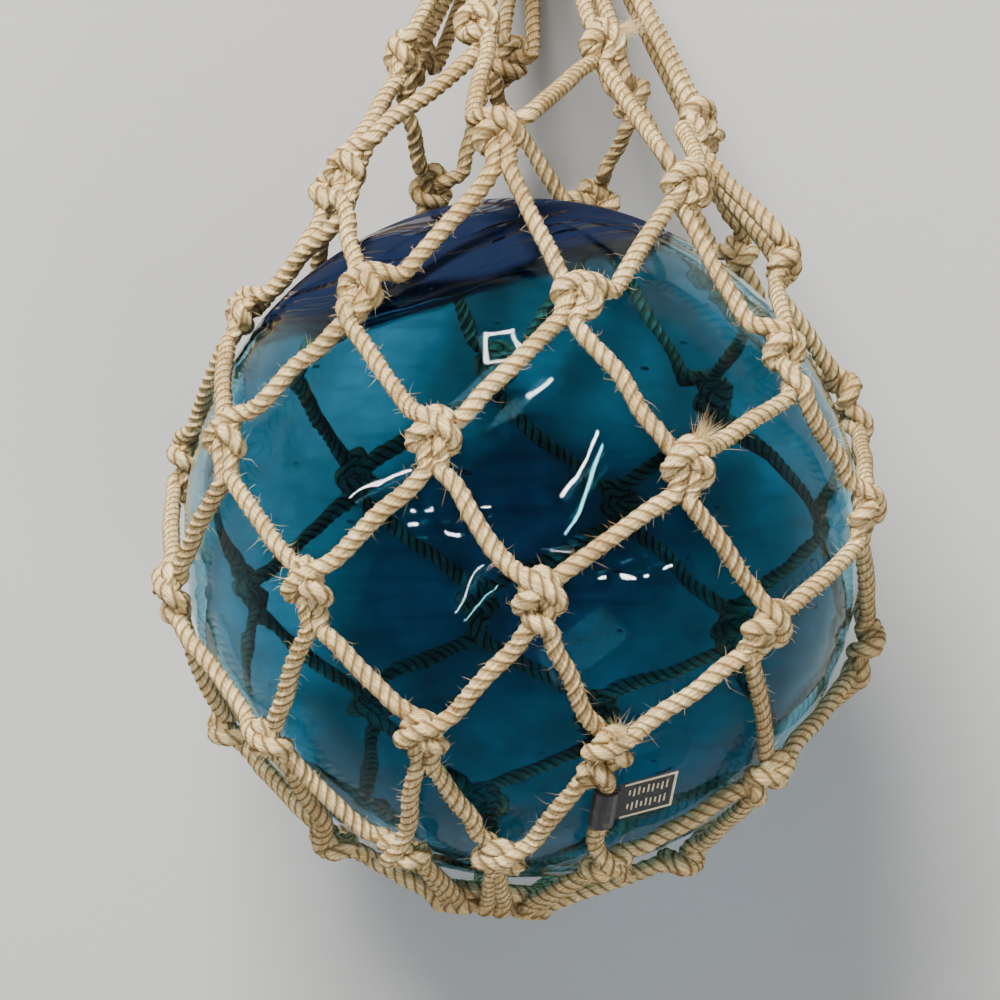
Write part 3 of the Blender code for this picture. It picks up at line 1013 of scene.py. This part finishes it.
# %% Glass finish
SWIRL_WAY = (-0.23, 0.96, 0.02)
BLUE = (0.14, 0.35, 0.45)
PALE_BLUE = (0.17, 0.47, 0.62)
CORD_BLUE = (0.11, 0.27, 0.35)
NAVY = (0.010, 0.034, 0.15)
INK = (0.003, 0.006, 0.035)
STREAK_BLUE = (0.22, 0.36, 0.58)
CANE_NAVY = (0.007, 0.013, 0.036, 1.0)
SWIRL_EDGE = (0.83, 0.87)
CURL_PACE = 70
CURL_BEND = 9
ARC_STRETCH = (1.5, 1.5, 1.5)
CORD_STRETCH = (3.0, 20.0, 3.0)


def glass_finish():
    finish = Finish("sea glass", Roughness=0.0, IOR=1.17, Transmission_Weight=1.0)
    centre = tuple(ball_centre)
    way = finish.node("ShaderNodeVectorMath", {"operation": "SUBTRACT"}, {0: finish.place(), 1: centre})
    way = finish.stretch(way, (1 / ball_radius,) * 3)
    near = finish.toward(way, SWIRL_WAY)
    bend = finish.noise(way, 2.2, 1.0, 0.5)
    curl = finish.vector(near * CURL_PACE + bend * CURL_BEND)
    arcs = finish.noise(curl.plus(finish.stretch(way, ARC_STRETCH)), 1.0, 2.0, 0.6)
    cloud = finish.noise(way, 3.6, 3.0, 0.65)
    cords = finish.noise(finish.stretch(way, CORD_STRETCH), 1.0, 2.0, 0.6)
    colour = finish.mix(cloud.over(0.38, 0.62), BLUE, PALE_BLUE)
    colour = finish.mix(cords.over(0.52, 0.66) * 0.3, colour, CORD_BLUE)
    swirl = (near + bend * 0.16).over(*SWIRL_EDGE)
    dark = arcs.over(0.47, 0.58)
    light = 1 - arcs.over(0.39, 0.45)
    colour = finish.mix(swirl * 0.96, colour, NAVY)
    colour = finish.mix(swirl * dark, colour, INK)
    colour = finish.mix(swirl * light * 0.6, colour, STREAK_BLUE)
    finish.feed("Base Color", colour)
    finish.over_it(swirl * (0.9 - light * 0.8), Base_Color=CANE_NAVY, Specular_IOR_Level=0.0)
    return finish.material


sea_glass = glass_finish()
glass.data.materials.append(sea_glass)

# %% [markdown]
# The tag
#
# The tag is black foil with a gold print, raised by a hair: a narrow border on three sides, and two rows
# of short strokes.

# %% Print the tag
TAG_BORDER = 0.00055
TAG_RAISE = 0.00006
TAG_ROWS = 2
TAG_STROKES = 9
TAG_ROW_TOP = 0.70
TAG_ROW_STEP = 0.40
TAG_ROW_START = 0.07
TAG_ROW_LENGTH = 0.80
STROKE_HALF = 0.016
STROKE_SHORT = 0.07
STROKE_TALL = 0.11
STROKE_SHIFT = 0.02


def flat_bar(bm, corners, face, raise_by):
    """A low block on the tag's face."""
    low = [bm.verts.new(c) for c in corners]
    high = [bm.verts.new(c + face * raise_by) for c in corners]
    bm.faces.new(high)
    bm.faces.new(low[::-1])
    for i in range(4):
        j = (i + 1) % 4
        bm.faces.new((low[i], low[j], high[j], high[i]))


def tag_print():
    """A narrow border and two rows of short strokes."""
    (near_low, near_high), (far_low, far_high) = tag_ends

    def at(u, v):
        low = near_low + (far_low - near_low) * u
        high = near_high + (far_high - near_high) * u
        return low + (high - low) * v

    wide = TAG_BORDER / np.linalg.norm(far_low - near_low)
    tall = TAG_BORDER / np.linalg.norm(near_high - near_low)
    bm = bmesh.new()
    bars = [((0, 1), (0, tall)), ((0, 1), (1 - tall, 1)), ((1 - wide, 1), (tall, 1 - tall))]
    for row in range(TAG_ROWS):
        for stroke in range(TAG_STROKES):
            u = TAG_ROW_START + TAG_ROW_LENGTH * (stroke + 0.5) / TAG_STROKES
            half = STROKE_TALL if stroke % 3 else STROKE_SHORT
            middle = TAG_ROW_TOP - TAG_ROW_STEP * row + (0.0 if stroke % 2 else STROKE_SHIFT)
            bars.append(((u - STROKE_HALF, u + STROKE_HALF), (middle - half, middle + half)))
    for (u0, u1), (v0, v1) in bars:
        flat_bar(bm, [at(u0, v0), at(u1, v0), at(u1, v1), at(u0, v1)], tag_out, TAG_RAISE)
    bmesh.ops.recalc_face_normals(bm, faces=bm.faces)
    mesh = bpy.data.meshes.new("tag_print")
    bm.to_mesh(mesh)
    bm.free()
    print("tag strokes:", TAG_ROWS * TAG_STROKES)
    return placed("tag_print", mesh)


marks = tag_print()

# %% Tag finishes
FOIL_BLACK = (0.010, 0.010, 0.014)
FOIL_GREY = (0.022, 0.022, 0.028)
SCUFFED = (0.16, 0.13, 0.10)
GOLD = (0.72, 0.62, 0.42)
WORN_GOLD = (0.50, 0.38, 0.20)
foil = Finish("black foil")
foil_place = foil.place()
grain = foil.noise(foil_place, 900.0, 2.0, 0.5)
scuff = foil.noise(foil_place, 260.0, 4.0, 0.65)
colour = foil.mix(grain.over(0.4, 0.7), FOIL_BLACK, FOIL_GREY)
foil.feed("Base Color", foil.mix(scuff.over(0.60, 0.72) * 0.6, colour, SCUFFED))
foil.feed("Roughness", scuff * 0.3 + 0.2)
foil.bump(grain + scuff, 0.00008, 0.6)
gilt = Finish("tag print", Roughness=0.45)
wear = gilt.noise(gilt.place(), 700.0, 3.0, 0.6)
gilt.feed("Base Color", gilt.mix(wear.over(0.4, 0.7), GOLD, WORN_GOLD))
gilt.bump(wear, 0.00004, 0.5)
tag = bpy.data.objects["label"]
tag.data.materials.clear()
tag.data.materials.append(foil.material)
marks.data.materials.append(gilt.material)

# %% [markdown]
# The camera
#
# The float lies on a plain pale table and the camera looks straight down on it, as in the picture. The
# ball's place and size in the picture give the lens and where the camera stands.

# %% Camera
PICTURE = 1000
BALL_IN_PICTURE = (523, 537)
BALL_REACH_IN_PICTURE = 340
CAMERA_DISTANCE = 8 * ball_radius
focal = BALL_REACH_IN_PICTURE * sqrt((CAMERA_DISTANCE / ball_radius) ** 2 - 1)
camera_data = bpy.data.cameras.new("camera")
camera_data.sensor_width = 36.0
camera_data.lens = focal / PICTURE * camera_data.sensor_width
camera = placed("camera", camera_data)
aside = (BALL_IN_PICTURE[0] - PICTURE / 2) / focal * CAMERA_DISTANCE
above = (BALL_IN_PICTURE[1] - PICTURE / 2) / focal * CAMERA_DISTANCE
eye = ball_centre + vec(-aside, above, CAMERA_DISTANCE)
camera.location = eye
bpy.context.scene.camera = camera
print("lens", round(camera_data.lens, 1), "mm")

# %% [markdown]
# The table and the light
#
# Soft light comes from all round, one large lamp gives the knots their shadows and a weaker one opposite
# fills them. Neither is mirrored in the glass. What is seen there are a window frame, some narrow tubes
# and rows of small lamps: each is set where the ball mirrors it to a chosen place in the picture, and
# lights nothing else.

# %% Table
TABLE_REACH = 3.0
TABLE_SUNK = 0.0001
TABLE_GREY = (0.415, 0.413, 0.405)
TABLE_PALE = (0.445, 0.442, 0.434)


def table_piece():
    bm = bmesh.new()
    bmesh.ops.create_grid(bm, x_segments=1, y_segments=1, size=TABLE_REACH)
    mesh = bpy.data.meshes.new("table")
    bm.to_mesh(mesh)
    bm.free()
    thing = placed("table", mesh)
    thing.location.z = -TABLE_SUNK
    surface = Finish("pale table", Specular_IOR_Level=0.0)
    mottle = surface.noise(surface.place(), 6.0, 1.0, 0.5)
    surface.feed("Base Color", surface.mix(mottle, TABLE_GREY, TABLE_PALE))
    mesh.materials.append(surface.material)


table_piece()
print("table laid")

# %% Lamps
LAMP_DISTANCE = 1.1
# Each row: name, both ends in the picture, width, glow
GLINTS = (
    ("window top", (484, 335), (522, 331), 0.035, 240.0),
    ("window right", (521, 333), (523, 355), 0.022, 200.0),
    ("window foot", (486, 361), (523, 353), 0.022, 200.0),
    ("window left", (484, 336), (487, 361), 0.026, 240.0),
    ("small window", (524, 394), (549, 379), 0.045, 300.0),
    ("long tube", (604, 437), (561, 503), 0.024, 480.0),
    ("left tube", (346, 495), (410, 470), 0.012, 400.0),
    ("far tube", (545, 546), (580, 550), 0.010, 300.0),
    ("low tube", (455, 603), (480, 561), 0.014, 240.0),
)
COMPANIONS = (
    ("long companion", (608, 453), (567, 525), 0.018, 330.0),
    ("low companion", (495, 586), (466, 615), 0.009, 200.0),
)
SEA_GREEN = (0.30, 0.92, 0.95)
DOT_ROWS = (((410, 514), (478, 512), 4), ((407, 528), (449, 527), 2), ((602, 579), (662, 568), 4))
DOT_SIZE = 0.015
DOT_GLOW = 480.0
DOT_LENGTHS = (0.3, 0.7)


def mirrored_place(x, y):
    """Where a lamp has to stand so that the ball shows it at this place in the picture."""
    ray = unit(vec(x - PICTURE / 2, PICTURE / 2 - y, -focal))
    away = eye - ball_centre
    half = ray.dot(away)
    reach = -half - sqrt(half * half - away.dot(away) + ball_radius**2)
    hit = eye + ray * reach
    normal = unit(hit - ball_centre)
    return hit + (ray - 2 * ray.dot(normal) * normal) * LAMP_DISTANCE


def lamp(name, start, end, width, glow, colour=(1, 1, 1), hidden=False):
    """A rectangular lamp from one place to the other that faces the ball."""
    data = bpy.data.lights.new(name, "AREA")
    data.shape = "RECTANGLE"
    data.size, data.size_y = float(np.linalg.norm(end - start)), width
    data.energy = glow * data.size * data.size_y * pi
    data.color = colour
    made = placed(name, data)
    middle = (start + end) / 2
    back = unit(middle - ball_centre)
    along = unit((end - start) - back * back.dot(end - start))
    axes = Matrix((along, np.cross(back, along), back)).transposed()
    made.matrix_world = Matrix.Translation(middle) @ axes.to_4x4()
    made.visible_glossy = not hidden
    made.visible_diffuse = hidden


for name, start, end, width, glow in GLINTS:
    lamp(name, mirrored_place(*start), mirrored_place(*end), width, glow)
for name, start, end, width, glow in COMPANIONS:
    lamp(name, mirrored_place(*start), mirrored_place(*end), width, glow, SEA_GREEN)
for row, (start, end, count) in enumerate(DOT_ROWS):
    for i in range(count):
        share = i / (count - 1)
        x, y = (a + (b - a) * share for a, b in zip(start, end))
        dot = mirrored_place(x, y)
        step = (mirrored_place(*end) - mirrored_place(*start)) * random.uniform(*DOT_LENGTHS) / count
        lamp(f"dot {row} {i}", dot, dot + step, DOT_SIZE, DOT_GLOW)

# %% Large lamps and the light all round
SOFTBOX_HALF = vec(0.3, 0.25, 0)
SOFTBOX_WIDTH = 0.4
WARM = (1.0, 0.97, 0.92)
SKY = (0.90, 0.95, 1.0, 1.0)
SKY_GLOW = 0.50
SOFTBOXES = (
    ("key", (-0.40, 1.10, 1.10), 74.0),
    ("fill", (0.55, -0.95, 1.2), 12.0),
)
for name, offset, glow in SOFTBOXES:
    middle = ball_centre + vec(*offset)
    lamp(name, middle - SOFTBOX_HALF, middle + SOFTBOX_HALF, SOFTBOX_WIDTH, glow, WARM, hidden=True)
world = bpy.data.worlds.new("studio")
world.use_nodes = True
background = world.node_tree.nodes["Background"]
background.inputs["Color"].default_value = SKY
background.inputs["Strength"].default_value = SKY_GLOW
bpy.context.scene.world = world

# %% [markdown]
# Who rides on what
#
# Nothing on the float moves by itself, so every piece rides on the one body. The solids that the net,
# the binding and the glass stand for are hidden.

# %% Tie the pieces to the model
for piece in net_pieces:
    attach(piece, "root")
    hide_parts("net")
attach(fibres, "root")
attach(marks, "root")
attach(binding, "root")
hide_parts("neck_binding")
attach(glass, "root")
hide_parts("glass_ball")
